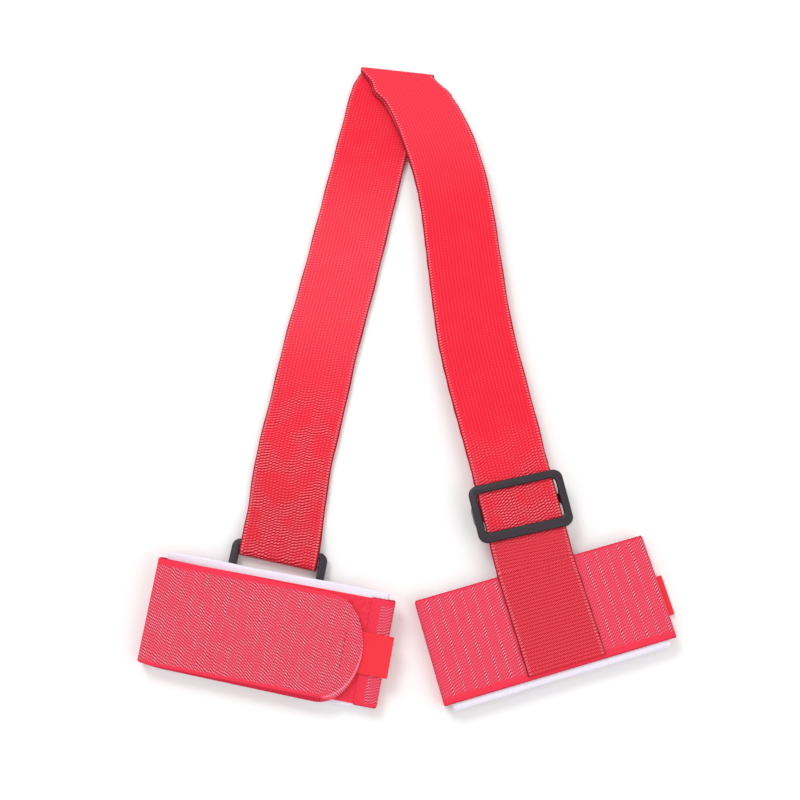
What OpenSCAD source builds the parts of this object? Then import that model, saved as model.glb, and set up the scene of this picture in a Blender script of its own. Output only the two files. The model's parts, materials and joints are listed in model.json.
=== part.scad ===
// Two-cuff carrying strap: a doubled webbing sling with a fold at the shoulder, a slider that sets
// its length, a ring, and two padded hook-and-loop cuffs. It lies flat, with the fold at the +Y end.

/* [Webbing] */
// Width of the webbing
webbing_w = 38; // [30:0.5:46]
// Thickness of one ply of webbing
webbing_t = 1.2; // [0.8:0.1:1.6]
// Gap between two plies that slide on each other
ply_gap = 0.25; // [0.2:0.05:0.5]
// Opening between the two inner plies at the shoulder fold
fold_gap = 0.8; // [0.5:0.1:3]

/* [Layout] */
// Length of the left leg, from the fold to the axis of the ring's top bar
left_len = 264; // [200:1:340]
// Lean of the left leg from the Y axis, degrees
left_lean = 12.5; // [5:0.5:20]
// Turn of the fold's crease, clockwise from the X axis, degrees
crease_turn = 7; // [0:0.5:12]
// Distance across from the fold to the right cuff's joint
reach_x = 65; // [45:1:90]
// Distance down from the fold to the right cuff's joint
reach_y = 266; // [220:1:340]
// Lean of the right leg's straight stretch, degrees
right_lean = 12.5; // [5:0.5:18]
// Length of the right leg's straight stretch
straight_len = 118; // [100:1:140]
// Lean of the right leg as it leaves the fold, degrees
fold_lean = 40; // [20:1:45]
// Turn of the left cuff, clockwise, degrees
left_cuff_turn = 10.5; // [5:0.5:16]
// Turn of the right cuff, anticlockwise, degrees
right_cuff_turn = 16; // [8:0.5:22]

/* [Slider] */
// Height of the slider along the webbing
slider_h = 29.5; // [26:0.5:40]
// Width of its two outer bars, along the webbing
slider_bar_w = 5; // [4:0.5:6]
// Thickness of its two outer bars
slider_t = 2.2; // [1.6:0.2:3.4]
// Width of its hidden centre bar
centre_bar_w = 5; // [4:0.5:7]
// Thickness of its hidden centre bar
centre_bar_t = 2; // [1.6:0.2:2.6]
// Distance from the slider to the right cuff when the sling is shortest
slider_to_cuff = 14.5; // [12:0.5:30]
// How far the slider and the cuff each travel
travel = 35; // [20:1:40]

/* [Ring] */
// Distance between the axes of the ring's two bars
ring_pitch = 21; // [18:0.5:30]
// Diameter of the bars
ring_bar_d = 3; // [2.4:0.1:4]
// Width of the ring's side posts, and of the slider's
post_w = 3.8; // [3:0.1:5]
// Gap between the webbing's edge and a post
side_gap = 0.6; // [0.5:0.1:1.5]
// Gap between a bar and the ply that loops round it
bar_gap = 0.25; // [0.2:0.05:0.5]
// Spare length in the webbing's loop round the top bar
loop_slack = 2.5; // [1.8:0.1:4]

/* [Cuffs] */
// Length of a closed cuff
cuff_len = 114; // [90:1:140]
// Width of the hook-and-loop tape
tape_w = 50; // [44:1:60]
// Thickness of the tape
tape_t = 1.2; // [0.8:0.1:1.6]
// How much wider the foam pad is than the tape
foam_extra = 3.5; // [0:0.5:8]
// Thickness of the foam pad
foam_t = 4.5; // [3:0.5:8]
// How far the pad sits off the tape's middle
foam_shift = 1.5; // [0:0.5:3]
// Thickness of the loop lining
lining_t = 0.8; // [0.5:0.1:1.2]
// Thickness of the hook patch
hook_t = 1; // [0.6:0.1:1.5]
// How far the flap's tip stops short of the cuff's end
flap_short = 10; // [8:1:30]
// Length of the flap's elliptical tip
tip_len = 19; // [12:1:25]
// Sideways drift of the flap over its length, as a slope
flap_drift = 0.02; // [0:0.005:0.04]
// Length of the hemmed end of the tape
hem_len = 11; // [8:0.5:14]
// Width of the ribbon pull tab
tab_w = 20; // [14:1:30]
// Thickness of the ribbon
tab_t = 0.6; // [0.4:0.1:0.8]
// How far the pull tab reaches past the end of the cuff
tab_out = 3; // [1:0.5:12]
// Distance of the left pull tab from the cuff's middle
left_tab_y = -1; // [-8:0.5:8]
// Distance of the right pull tab from the cuff's middle
right_tab_y = 5; // [-8:0.5:8]
// Distance of the sewn webbing from the right cuff's middle
sewn_x = 3; // [-10:0.5:10]
// How far the sewn webbing stops short of the cuff's far edge
sewn_short = 2; // [1:0.5:10]
// Distance of the keeper's bar inside the left cuff's upper edge
keeper_inset = 7; // [5:0.5:12]
// How far the keeper tab's edges sit inside the webbing's
keeper_side = 3; // [0.5:0.5:8]
// Thickness of the keeper tab
keeper_t = 1; // [0.6:0.1:1.2]
// Distance of the ring from the left cuff's middle
ring_x = -2.5; // [-10:0.5:10]

/* [Hidden] */
$fn = 48;
red = [0.93, 0.2, 0.28];
pink = [0.94, 0.32, 0.42];
ribbon_red = [0.96, 0.22, 0.26];
plastic = [0.27, 0.22, 0.26];
white = [0.93, 0.91, 0.97];
thread = [0.8, 0.12, 0.2];

swing_gap = 0.3;      // clearance round a ply that swings in a fold
seam = 0.3;           // gap where one ply goes on from another body's ply
joint_gap = 0.6;      // half the gap at the joint of a flat ply
slide_gap = 0.2;      // clearance between the webbing and the slider's outer bars
loop_gap = 0.1;       // clearance between the end loop and the centre bar
past = 10;            // how far cut shapes run past what they cut
curve_steps = 16;     // steps along the right leg's curve
stitch = [2, 0.5, 0.12];
stitch_pitch = 3.1;

// The shoulder fold: radii of its plies round the crease's axis
inner_r = fold_gap / 2;
outer_r = inner_r + webbing_t + ply_gap;
fold_r = outer_r + webbing_t;
axis_z = fold_r;
inner_z = axis_z + inner_r;
outer_z = axis_z + outer_r;
crease_len = webbing_w / cos(left_lean - crease_turn);

// A cuff's layers, counted up from its back face
pad_z = tape_t + foam_t;
lining_top = pad_z + lining_t;
hook_z = lining_top + swing_gap;
flap_z = hook_z + hook_t;
cuff_t = flap_z + tape_t;
half = cuff_len / 2;
foam_w = tape_w + foam_extra;
sewn_len = tape_w - sewn_short;
flap_bend_r = tape_t + 0.3;
flap_axis = [flap_bend_r - half, cuff_t - flap_bend_r];
pad_x0 = flap_axis[0] + flap_bend_r + seam / 2;
pad_x1 = half - tape_t;
hem_x = half - hem_len;
tip_x = half - flap_short;
tab_x0 = tip_x - 12;
tab_z = flap_z - tab_t;

// The ring and what it hangs from
bar_z = webbing_t + bar_gap + ring_bar_d / 2;
keeper_w = webbing_w - 2 * keeper_side;
window_w = webbing_w + 2 * side_gap;
frame_w = window_w + 2 * post_w;
keeper_r = ring_bar_d / 2 + bar_gap;
keeper_y = tape_w / 2 - keeper_inset;
keeper_drop = keeper_r + keeper_t;
keeper_arm = tape_w / 2 + keeper_y;
left_tilt = asin(bar_z / norm([keeper_arm, keeper_drop])) + atan(keeper_drop / keeper_arm);
ring_at = left_len * [-sin(left_lean), -cos(left_lean)];
lower_bar_at = ring_at + ring_pitch * [-sin(left_cuff_turn), -cos(left_cuff_turn)];

// The right leg: its joint with the cuff, its slope up to the cuff's back, and its curve
cuff_joint = [reach_x, -reach_y];
joint_dist = reach_y * cos(crease_turn) - reach_x * sin(crease_turn);
right_slope = asin((cuff_t - axis_z) / norm([joint_dist, outer_r])) - atan(outer_r / joint_dist);
up_strap = [-sin(right_lean), cos(right_lean)];
curve_end = cuff_joint + straight_len * up_strap;
curve_points = [
    [0, 0],
    43 * [sin(fold_lean), -cos(fold_lean)],
    curve_end + 43 * [-sin(right_lean - 2), cos(right_lean - 2)],
    curve_end
];
slider_y = slider_to_cuff + slider_h / 2;
loop_top_y = slider_y + 22;
slack_top_y = loop_top_y + travel + 8;

// Where the outermost corners lie, and so where the middle of the whole strap is
function turned(p, a) = [p[0] * cos(a) - p[1] * sin(a), p[0] * sin(a) + p[1] * cos(a)];
function tilted_y(y, z) = (y - keeper_y) * cos(left_tilt) - (z + keeper_drop) * sin(left_tilt);
function left_corner(x, y, z) = lower_bar_at + turned([x - ring_x, tilted_y(y, z)], -left_cuff_turn);
function right_corner(x, y) = cuff_joint + turned([x - sewn_x, y - tape_w / 2 - joint_gap], right_cuff_turn);
foam_edge = foam_w / 2 + foam_shift;
tab_end = half + tab_out;
corners = [
    for (x = [-half, half], y = [-tape_w / 2, tape_w / 2]) left_corner(x, y, 0),
    for (x = [-half, half], y = [-tape_w / 2, tape_w / 2]) right_corner(x, y),
    for (x = [pad_x0, pad_x1]) right_corner(x, -foam_edge),
    for (x = [pad_x0, pad_x1]) left_corner(x, -foam_w / 2 + foam_shift, tape_t),
    for (y = [-1, 1] * tab_w / 2) right_corner(tab_end, y - right_tab_y),
    turned([-crease_len / 2, fold_r], -crease_turn)
];
xs = [for (c = corners) c[0]];
ys = [for (c = corners) c[1]];
middle = [(min(xs) + max(xs)) / 2, (min(ys) + max(ys)) / 2];

// ---- Placing ----

// The strap's own middle on the ground
module placed() {
    translate([-middle[0], -middle[1], 0]) children();
}

// Turned with the crease, its middle at the origin and its axis along X
module at_crease() {
    translate([0, 0, axis_z]) rotate([0, 0, -crease_turn]) children();
}

// The right leg rises from the fold to the cuff's back
module on_slope() {
    at_crease() rotate([-right_slope, 0, 0])
        rotate([0, 0, crease_turn]) translate([0, 0, -axis_z]) children();
}

// The right leg's straight stretch: +Y runs up the webbing from the cuff's joint
module on_straight() {
    placed() on_slope() translate(concat(cuff_joint, 0)) rotate([0, 0, right_lean]) children();
}

module on_left_leg() {
    placed() rotate([0, 0, -left_lean]) children();
}

module on_ring() {
    placed() translate(concat(ring_at, bar_z)) rotate([0, 0, -left_cuff_turn]) children();
}

// A cuff's own frame: X along it to the flap's tip, Z from its back face to its flap
module on_left_cuff() {
    placed() translate(concat(lower_bar_at, bar_z)) rotate([0, 0, -left_cuff_turn])
        rotate([left_tilt, 0, 0]) translate([-ring_x, -keeper_y, keeper_drop]) children();
}

module on_right_cuff() {
    placed() translate(concat(cuff_joint, cuff_t)) rotate([0, 0, right_cuff_turn])
        translate([-sewn_x, -tape_w / 2 - joint_gap, 0]) rotate([180, 0, 0]) children();
}

// ---- Shared shapes ----

// A side profile, drawn as Y and Z, made as wide as w along X
module across(w) {
    rotate([90, 0, 90]) linear_extrude(w, center = true) children();
}

// A side profile, drawn as X and Z, made as wide as w along Y
module along(w) {
    rotate([90, 0, 0]) linear_extrude(w, center = true) children();
}

// A flat stretch of a side profile, between two places and two heights
module ply(from, to, low, thick) {
    translate([from, low]) square([to - from, thick]);
}

// A stretch that climbs from one height to another
module ramp(from, to, low_from, low_to, thick) {
    polygon([[from, low_from], [to, low_to], [to, low_to + thick], [from, low_from + thick]]);
}

// A half turn that opens towards +Y (side = 1) or towards -Y (side = -1)
module half_turn(r, thick, side) {
    difference() {
        circle(r + thick);
        circle(r);
        translate([side > 0 ? 0 : -2 * (r + thick), -2 * (r + thick)])
            square([2, 4] * (r + thick));
    }
}

module rounded_rect(w, h, r) {
    square([w - 2 * r, h], center = true);
    square([w, h - 2 * r], center = true);
    for (x = [-1, 1], y = [-1, 1]) translate([x * (w / 2 - r), y * (h / 2 - r)]) circle(r);
}

// A row of stitches along X, centred
module stitch_row(length) {
    count = floor(length / stitch_pitch);
    for (i = [0 : count - 1])
        translate([(i - (count - 1) / 2) * stitch_pitch, 0, stitch[2] / 2]) cube(stitch, center = true);
}

// ---- The right leg's curve ----

function curve_at(t) = pow(1 - t, 3) * curve_points[0] + 3 * t * pow(1 - t, 2) * curve_points[1]
    + 3 * t * t * (1 - t) * curve_points[2] + pow(t, 3) * curve_points[3];
function cross_angle(t) = -crease_turn + (right_lean + crease_turn) * (1 - pow(1 - t, 2));
function edge_at(t, side, w) = curve_at(t) + side * w / 2 * [cos(cross_angle(t)), sin(cross_angle(t))];
function edge(side) = concat(
    [edge_at(0, side, crease_len)],
    [for (i = [1 : curve_steps]) edge_at(i / curve_steps, side, webbing_w)]
);
function reversed(list) = [for (i = [len(list) - 1 : -1 : 0]) list[i]];
function on_strap(y, side) = cuff_joint + y * up_strap + side * webbing_w / 2 * [cos(right_lean), sin(right_lean)];

// The flat ply from the crease along the curve and on to a place on the straight stretch
module curved_ply(low, end_y) {
    translate([0, 0, low]) linear_extrude(webbing_t)
        polygon(concat(edge(-1), [on_strap(end_y, -1), on_strap(end_y, 1)], reversed(edge(1))));
}

// A ply's half turn at the shoulder
module fold_bend(r) {
    color(red) placed() at_crease() rotate([-right_slope, 0, 0])
        across(crease_len) half_turn(r, webbing_t, -1);
}

// ---- Webbing ----

module webbing_left_leg() {
    turn_y = -left_len - loop_slack;
    flat_y = -left_len + 3;
    color(red) placed() difference() {
        rotate([0, 0, -left_lean]) across(webbing_w) {
            ply(turn_y, past, 0, webbing_t);
            translate([turn_y, bar_z]) half_turn(ring_bar_d / 2 + bar_gap, webbing_t, 1);
            ply(turn_y, flat_y, bar_z + ring_bar_d / 2 + bar_gap, webbing_t);
            ramp(flat_y, flat_y + 14, bar_z + ring_bar_d / 2 + bar_gap, webbing_t + ply_gap, webbing_t);
            ply(flat_y + 14, past, webbing_t + ply_gap, webbing_t);
        }
        at_crease() {
            rotate([0, 90, 0]) cylinder(r = fold_r + swing_gap, h = 2 * webbing_w, center = true);
            translate([-webbing_w, 0, -2 * fold_r]) cube([2 * webbing_w, 3 * past, 4 * fold_r]);
        }
    }
}

module webbing_outer_right() {
    color(red) placed() on_slope() curved_ply(outer_z, straight_len);
}

module webbing_inner_right() {
    color(red) placed() on_slope() curved_ply(inner_z, slack_top_y);
}

// The ply that takes up length between the fixed inner ply and the end loop
module webbing_inner_slack() {
    color(red) on_straight() across(webbing_w) ply(loop_top_y, slack_top_y, inner_z, webbing_t);
}

module webbing_end_loop() {
    turn_y = -(centre_bar_w - centre_bar_t) / 2;
    turn_r = centre_bar_t / 2 + loop_gap;
    under_z = inner_z - 2 * turn_r - webbing_t;
    color(red) on_straight() translate([0, slider_y, 0]) across(webbing_w) {
        ply(turn_y, loop_top_y - slider_y, inner_z, webbing_t);
        translate([turn_y, inner_z - turn_r]) half_turn(turn_r, webbing_t, 1);
        ply(turn_y, centre_bar_w / 2 + 0.5, under_z, webbing_t);
        ramp(centre_bar_w / 2 + 0.5, 9, under_z, inner_z - webbing_t, webbing_t);
        ply(9, 18, inner_z - webbing_t, webbing_t);
    }
}

module end_loop_stitching() {
    color(thread) on_straight() for (y = [11.5, 15.5])
        translate([0, slider_y + y, inner_z - webbing_t]) mirror([0, 0, 1]) stitch_row(webbing_w - 4);
}

// The sliding end of the outer ply, from the curve down to the cuff's joint
module webbing_lower() {
    cut = right_cuff_turn - right_lean;
    color(red) on_straight() translate([0, 0, outer_z]) difference() {
        translate([-webbing_w / 2, -past, 0]) cube([webbing_w, past + straight_len - seam, webbing_t]);
        rotate([0, 0, cut]) translate([-webbing_w, joint_gap - 2 * past, -1])
            cube([2 * webbing_w, 2 * past, webbing_t + 2]);
    }
}

module webbing_sewn_end() {
    color(red) on_right_cuff() translate([sewn_x, sewn_len / 2 - tape_w / 2, -webbing_t / 2])
        cube([webbing_w, sewn_len, webbing_t], center = true);
}

module sewn_end_stitching() {
    end_y = sewn_len - tape_w / 2;
    color(thread) on_right_cuff() for (y = [2.5 - tape_w / 2, end_y - 2.5])
        translate([sewn_x, y, -webbing_t]) mirror([0, 0, 1]) stitch_row(webbing_w - 4);
}

// ---- Slider and ring ----

module slider_frame() {
    bar_low = outer_z + webbing_t + slide_gap;
    bar_top = inner_z - loop_gap;
    color(plastic) on_straight() translate([0, slider_y, 0]) {
        translate([0, 0, bar_low]) linear_extrude(slider_t) difference() {
            rounded_rect(frame_w, slider_h, 4.5);
            rounded_rect(window_w, slider_h - 2 * slider_bar_w, 2.2);
        }
        for (side = [-1, 1])
            translate([side * (window_w + post_w) / 2, 0, (bar_low + bar_top - centre_bar_t) / 2])
                cube([post_w, centre_bar_w + 4, bar_low + centre_bar_t - bar_top], center = true);
        translate([0, 0, bar_top - centre_bar_t / 2]) across(window_w + post_w)
            rounded_rect(centre_bar_w, centre_bar_t, centre_bar_t / 2 - 0.01);
    }
}

module ring() {
    color(plastic) on_ring() {
        translate([0, -ring_pitch / 2, 0]) difference() {
            linear_extrude(ring_bar_d, center = true)
                rounded_rect(frame_w, ring_pitch + ring_bar_d, 4);
            cube([window_w, ring_pitch + 2 * past, 2 * ring_bar_d], center = true);
        }
        for (y = [0, -ring_pitch]) translate([0, y, 0])
            rotate([0, 90, 0]) cylinder(d = ring_bar_d, h = window_w + post_w, center = true);
    }
}

module keeper_tab() {
    arm = keeper_y - 9;
    low = -2 * keeper_r - 2 * keeper_t;
    color(red) on_left_cuff() translate([ring_x, 0, 0]) across(keeper_w) {
        ply(keeper_y - 22, keeper_y, -keeper_t, keeper_t);
        translate([keeper_y, -keeper_drop]) half_turn(keeper_r, keeper_t, -1);
        ply(keeper_y - 2, keeper_y, low, keeper_t);
        ramp(arm, keeper_y - 2, -2 * keeper_t, low, keeper_t);
        ply(arm - 10, arm, -2 * keeper_t, keeper_t);
    }
}

module keeper_stitching() {
    color(thread) on_left_cuff() for (y = [11, 17])
        translate([ring_x, keeper_y - y, -2 * keeper_t]) mirror([0, 0, 1]) stitch_row(keeper_w - 4);
}

// ---- Cuffs ----

// The tape behind the pad, up both of its ends, and over its right end as a hem
module back_tape() {
    color(pink) along(tape_w) {
        ply(-half, half, 0, tape_t);
        ply(-half, tape_t - half, 0, flap_axis[1] - flap_bend_r - swing_gap);
        ply(half - tape_t, half, 0, pad_z + tape_t);
        ply(hem_x, half, pad_z, tape_t);
    }
}

module foam_pad() {
    color(white) translate([0, foam_shift, 0]) along(foam_w) ply(pad_x0, pad_x1, tape_t, foam_t);
}

module loop_lining() {
    color(pink) along(tape_w - 1) ply(pad_x0 + 0.5, hem_x - 0.2, pad_z, lining_t);
}

module hem_stitching() {
    color(thread) translate([hem_x + 1, 0, pad_z + tape_t]) rotate([0, 0, 90]) stitch_row(tape_w - 1);
}

// The flap's outline seen from above, inset from its edges by rim
function flap_side(x, side, rim) = [x, side * (tape_w / 2 - rim) - flap_drift * (x + half)];
function tip_point(a, rim) = let (x = tip_x - tip_len + (tip_len - rim) * cos(a))
    [x, (tape_w / 2 - rim) * sin(a) - flap_drift * (x + half)];
module flap_outline(x0, rim) {
    polygon(concat(
        [flap_side(x0, -1, rim)],
        [for (a = [-90 : 7.5 : 90]) tip_point(a, rim)],
        [flap_side(x0, 1, rim)]
    ));
}

// The stitches lie in the tape, flush with it, so that the flap rests flat
module flap_tape(tab_y) {
    color(pink) {
        difference() {
            translate([0, 0, flap_z]) linear_extrude(tape_t) flap_outline(flap_axis[0], 0);
            tab_stitching(tab_y);
        }
        along(tape_w) translate(flap_axis) intersection() {
            difference() {
                circle(flap_bend_r);
                circle(flap_bend_r - tape_t);
            }
            translate([-past, 0]) square(past);
        }
    }
}

module hook_patch() {
    color(ribbon_red) translate([0, 0, hook_z]) linear_extrude(hook_t) intersection() {
        flap_outline(flap_axis[0] + 3, 2.5);
        translate([-half, -tape_w]) square([tab_x0 - 1 + half, 2 * tape_w]);
    }
}

module pull_tab(tab_y) {
    color(ribbon_red) translate([tab_x0, tab_y - tab_w / 2, tab_z]) cube([tab_end - tab_x0, tab_w, tab_t]);
}

module tab_stitching(tab_y) {
    color(thread) translate([tip_x - 9, tab_y, cuff_t - stitch[2]]) rotate([0, 0, 90]) stitch_row(tab_w);
}

webbing_left_leg();
fold_bend(outer_r);  // webbing_outer_fold
fold_bend(inner_r);  // webbing_inner_fold
webbing_outer_right();
webbing_inner_right();
webbing_inner_slack();
webbing_end_loop();
end_loop_stitching();
slider_frame();
webbing_lower();
webbing_sewn_end();
sewn_end_stitching();
ring();
keeper_tab();
keeper_stitching();
on_left_cuff() back_tape();  // left_back_tape
on_left_cuff() foam_pad();  // left_foam_pad
on_left_cuff() loop_lining();  // left_loop_lining
on_left_cuff() hem_stitching();  // left_hem_stitching
on_left_cuff() flap_tape(left_tab_y);  // left_flap_tape
on_left_cuff() hook_patch();  // left_hook_patch
on_left_cuff() pull_tab(left_tab_y);  // left_pull_tab
on_left_cuff() tab_stitching(left_tab_y);  // left_tab_stitching
on_right_cuff() back_tape();  // right_back_tape
on_right_cuff() foam_pad();  // right_foam_pad
on_right_cuff() loop_lining();  // right_loop_lining
on_right_cuff() hem_stitching();  // right_hem_stitching
on_right_cuff() flap_tape(right_tab_y);  // right_flap_tape
on_right_cuff() hook_patch();  // right_hook_patch
on_right_cuff() pull_tab(right_tab_y);  // right_pull_tab
on_right_cuff() tab_stitching(right_tab_y);  // right_tab_stitching
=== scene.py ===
import json
import math
import random
import bmesh
import bpy
from mathutils import Matrix, Vector, noise


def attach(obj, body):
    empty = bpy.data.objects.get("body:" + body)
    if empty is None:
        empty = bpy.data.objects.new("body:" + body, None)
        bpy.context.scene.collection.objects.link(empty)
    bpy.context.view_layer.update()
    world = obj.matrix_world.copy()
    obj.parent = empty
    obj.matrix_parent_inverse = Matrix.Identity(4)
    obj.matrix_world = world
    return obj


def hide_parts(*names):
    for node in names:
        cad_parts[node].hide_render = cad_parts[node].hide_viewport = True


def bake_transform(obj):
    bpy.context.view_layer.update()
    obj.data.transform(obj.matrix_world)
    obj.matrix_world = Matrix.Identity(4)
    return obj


# Two-cuff carrying strap laid flat. Lengths in the dictionaries are millimetres.
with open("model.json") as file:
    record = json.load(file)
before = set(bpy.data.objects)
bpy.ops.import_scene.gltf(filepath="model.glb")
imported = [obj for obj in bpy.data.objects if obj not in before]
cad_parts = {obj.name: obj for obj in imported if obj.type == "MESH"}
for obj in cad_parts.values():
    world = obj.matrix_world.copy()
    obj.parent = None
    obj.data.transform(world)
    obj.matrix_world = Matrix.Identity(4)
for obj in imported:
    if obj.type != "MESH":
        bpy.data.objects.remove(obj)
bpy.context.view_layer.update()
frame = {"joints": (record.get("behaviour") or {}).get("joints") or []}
joints = {joint["name"]: joint for joint in frame["joints"]}
print("frame loaded")


def jointAt(name):
    return Vector(joints[name]["pos_m"])


def jointAlong(name):
    return Vector(joints[name]["axis"]).normalized()


def framed(origin, along, up):  # a frame in millimetres: X along, Z as near to up as it can be
    along = along.normalized()
    side = up.cross(along).normalized()
    up = along.cross(side)
    turn = Matrix((along, side, up)).transposed().to_4x4()
    return Matrix.Translation(origin) @ turn @ Matrix.Scale(0.001, 4)


# ---- places taken from the frame ----
zUp = Vector((0, 0, 1))
creaseAxis = -jointAlong("shoulder_fold")
creaseFrame = framed(jointAt("shoulder_fold"), creaseAxis, zUp)
downLeft = jointAt("ring_turn") - jointAt("shoulder_fold")
downLeft.z = 0
leftFrame = framed(Vector((*jointAt("shoulder_fold").xy, 0)), zUp.cross(downLeft), zUp)
upStrap = jointAlong("slider_slide")
slopeUp = creaseAxis.cross(upStrap).normalized()
slopeSide = upStrap.cross(slopeUp)
outerPly = {"thick": 1.2, "leftMid": 0.6, "foldMid": 2.45, "rightMid": 5.5}
innerPly = {"thick": 1.2, "leftMid": 2.05, "foldMid": 1.0, "rightMid": 4.05}
cuffJoint = jointAt("right_cuff_turn")
straightFrame = framed(cuffJoint - slopeUp * 0.00610, slopeSide, slopeUp)
ringFrame = framed(jointAt("ring_turn"), jointAlong("ring_turn"), zUp)


def cuffFrame(side):
    along = jointAlong(side + "_cuff_turn")
    across = -jointAlong(side + "_flap_open")
    up = along.cross(across).normalized()
    if side == "right":
        along = across.cross(Vector((0, 0, -1))).normalized()
        up = along.cross(across).normalized()
    origin = jointAt(side + "_flap_open") + along * 0.0555 - up * 0.0075
    return framed(origin, along, up)


cuffFrames = {"left": cuffFrame("left"), "right": cuffFrame("right")}


def deselect():
    for item in bpy.context.selected_objects:
        item.select_set(False)


def collect(name, mesh):
    item = bpy.data.objects.new(name, mesh)
    bpy.context.scene.collection.objects.link(item)
    return item


def settle(item, matrix, angle=35):  # places the mesh itself and leaves the object at the origin
    item.data.transform(matrix @ item.matrix_world)
    item.matrix_world = Matrix.Identity(4)
    deselect()
    item.select_set(True)
    bpy.context.view_layer.objects.active = item
    bpy.ops.object.shade_smooth_by_angle(angle=math.radians(angle))
    item.select_set(False)
    return item


def applyModifiers(item):
    deselect()
    item.select_set(True)
    bpy.context.view_layer.objects.active = item
    for modifier in list(item.modifiers):
        bpy.ops.object.modifier_apply(modifier=modifier.name)


# ---- shader helpers ----
def calc(tree, operation, *values, clamp=False):
    node = tree.nodes.new("ShaderNodeMath")
    node.operation = operation
    node.use_clamp = clamp
    for socket, value in zip(node.inputs, values):
        if isinstance(value, (int, float)):
            socket.default_value = value
        else:
            tree.links.new(value, socket)
    return node.outputs[0]


def ramped(tree, value, low, high, lowTo=0.0, highTo=1.0, smooth=True):
    node = tree.nodes.new("ShaderNodeMapRange")
    node.interpolation_type = "SMOOTHSTEP" if smooth else "LINEAR"
    node.inputs["From Min"].default_value = low
    node.inputs["From Max"].default_value = high
    node.inputs["To Min"].default_value = lowTo
    node.inputs["To Max"].default_value = highTo
    tree.links.new(value, node.inputs["Value"])
    return node.outputs[0]


def blendColour(tree, factor, first, second, kind="MIX"):
    node = tree.nodes.new("ShaderNodeMix")
    node.data_type = "RGBA"
    node.blend_type = kind
    for socket, value in ((node.inputs[0], factor), (node.inputs[6], first), (node.inputs[7], second)):
        if isinstance(value, (int, float)):
            socket.default_value = value
        elif isinstance(value, tuple):
            socket.default_value = (*value, 1)
        else:
            tree.links.new(value, socket)
    return node.outputs[2]


def splitPlace(tree, vector):
    node = tree.nodes.new("ShaderNodeSeparateXYZ")
    tree.links.new(vector, node.inputs[0])
    return node.outputs


def cloud(tree, vector, size, detail=2.0, rough=0.5):  # soft noise whose features are about size across
    node = tree.nodes.new("ShaderNodeTexNoise")
    node.inputs["Scale"].default_value = 1.0 / size
    node.inputs["Detail"].default_value = detail
    node.inputs["Roughness"].default_value = rough
    tree.links.new(vector, node.inputs["Vector"])
    return node.outputs["Fac"]


def newGroup(name, inputs, outputs):
    tree = bpy.data.node_groups.new(name, "ShaderNodeTree")
    for label, kind, value in inputs:
        socket = tree.interface.new_socket(label, in_out="INPUT", socket_type=kind)
        if value is not None:
            socket.default_value = value
    for label, kind in outputs:
        tree.interface.new_socket(label, in_out="OUTPUT", socket_type=kind)
    return tree, tree.nodes.new("NodeGroupInput").outputs, tree.nodes.new("NodeGroupOutput").inputs


def placeGroup(tree, group, **values):
    node = tree.nodes.new("ShaderNodeGroup")
    node.node_tree = group
    for label, value in values.items():
        socket = node.inputs[label]
        if isinstance(value, (int, float)):
            socket.default_value = value
        else:
            tree.links.new(value, socket)
    return node.outputs


def makeDashWeave():
    # columns of short floats: each column is shifted by its own amount, and every float leans
    tree, given, out = newGroup(
        "dashWeave",
        [("Place", "NodeSocketVector", None), ("Column", "NodeSocketFloat", 1.7),
         ("Dash", "NodeSocketFloat", 1.4), ("Lean", "NodeSocketFloat", 0.5)],
        [("Height", "NodeSocketFloat"), ("Light", "NodeSocketFloat"), ("Dark", "NodeSocketFloat"),
         ("Columns", "NodeSocketFloat"), ("Fourth", "NodeSocketFloat"), ("Phase", "NodeSocketFloat")],
    )
    u, v, rest = splitPlace(tree, given["Place"])
    wander = calc(tree, "MULTIPLY", calc(tree, "SUBTRACT", cloud(tree, given["Place"], 14), 0.5), 0.7)
    jitter = calc(tree, "MULTIPLY", calc(tree, "SUBTRACT", cloud(tree, given["Place"], 5), 0.5), 0.9)
    column = calc(tree, "DIVIDE", calc(tree, "ADD", u, wander), given["Column"])
    columnId = calc(tree, "FLOOR", column)
    inColumn = calc(tree, "SUBTRACT", calc(tree, "FRACT", column), 0.5)
    own = tree.nodes.new("ShaderNodeTexWhiteNoise")
    own.noise_dimensions = "1D"
    tree.links.new(columnId, own.inputs["W"])
    shift = own.outputs["Value"]
    row = calc(tree, "ADD", calc(tree, "DIVIDE", v, given["Dash"]), calc(tree, "ADD", shift, jitter))
    row = calc(tree, "ADD", row, calc(tree, "MULTIPLY", inColumn, given["Lean"]))
    inRow = calc(tree, "SUBTRACT", calc(tree, "FRACT", row), 0.5)
    fromMiddle = calc(tree, "MULTIPLY", calc(tree, "ABSOLUTE", inColumn), 2.0)
    across = calc(tree, "SUBTRACT", 1.0, calc(tree, "POWER", fromMiddle, 3.0))
    fromCrown = calc(tree, "MULTIPLY", calc(tree, "ABSOLUTE", inRow), 2.0)
    endwise = calc(tree, "SUBTRACT", 1.0, calc(tree, "POWER", fromCrown, 2.0))
    tree.links.new(calc(tree, "MULTIPLY", across, endwise), out["Height"])
    lightRow = calc(tree, "ABSOLUTE", calc(tree, "ADD", inRow, 0.24))
    tree.links.new(calc(tree, "MULTIPLY", ramped(tree, lightRow, 0.10, 0.26, 1.0, 0.0), across), out["Light"])
    darkRow = calc(tree, "ABSOLUTE", calc(tree, "SUBTRACT", inRow, 0.24))
    tree.links.new(calc(tree, "MULTIPLY", ramped(tree, darkRow, 0.13, 0.30, 1.0, 0.0), across), out["Dark"])
    tree.links.new(ramped(tree, calc(tree, "ABSOLUTE", inColumn), 0.3, 0.5), out["Columns"])
    fourth = calc(tree, "LESS_THAN", calc(tree, "FLOORED_MODULO", columnId, 4.0), 0.5)
    tree.links.new(fourth, out["Fourth"])
    tree.links.new(inRow, out["Phase"])
    return tree


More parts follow.
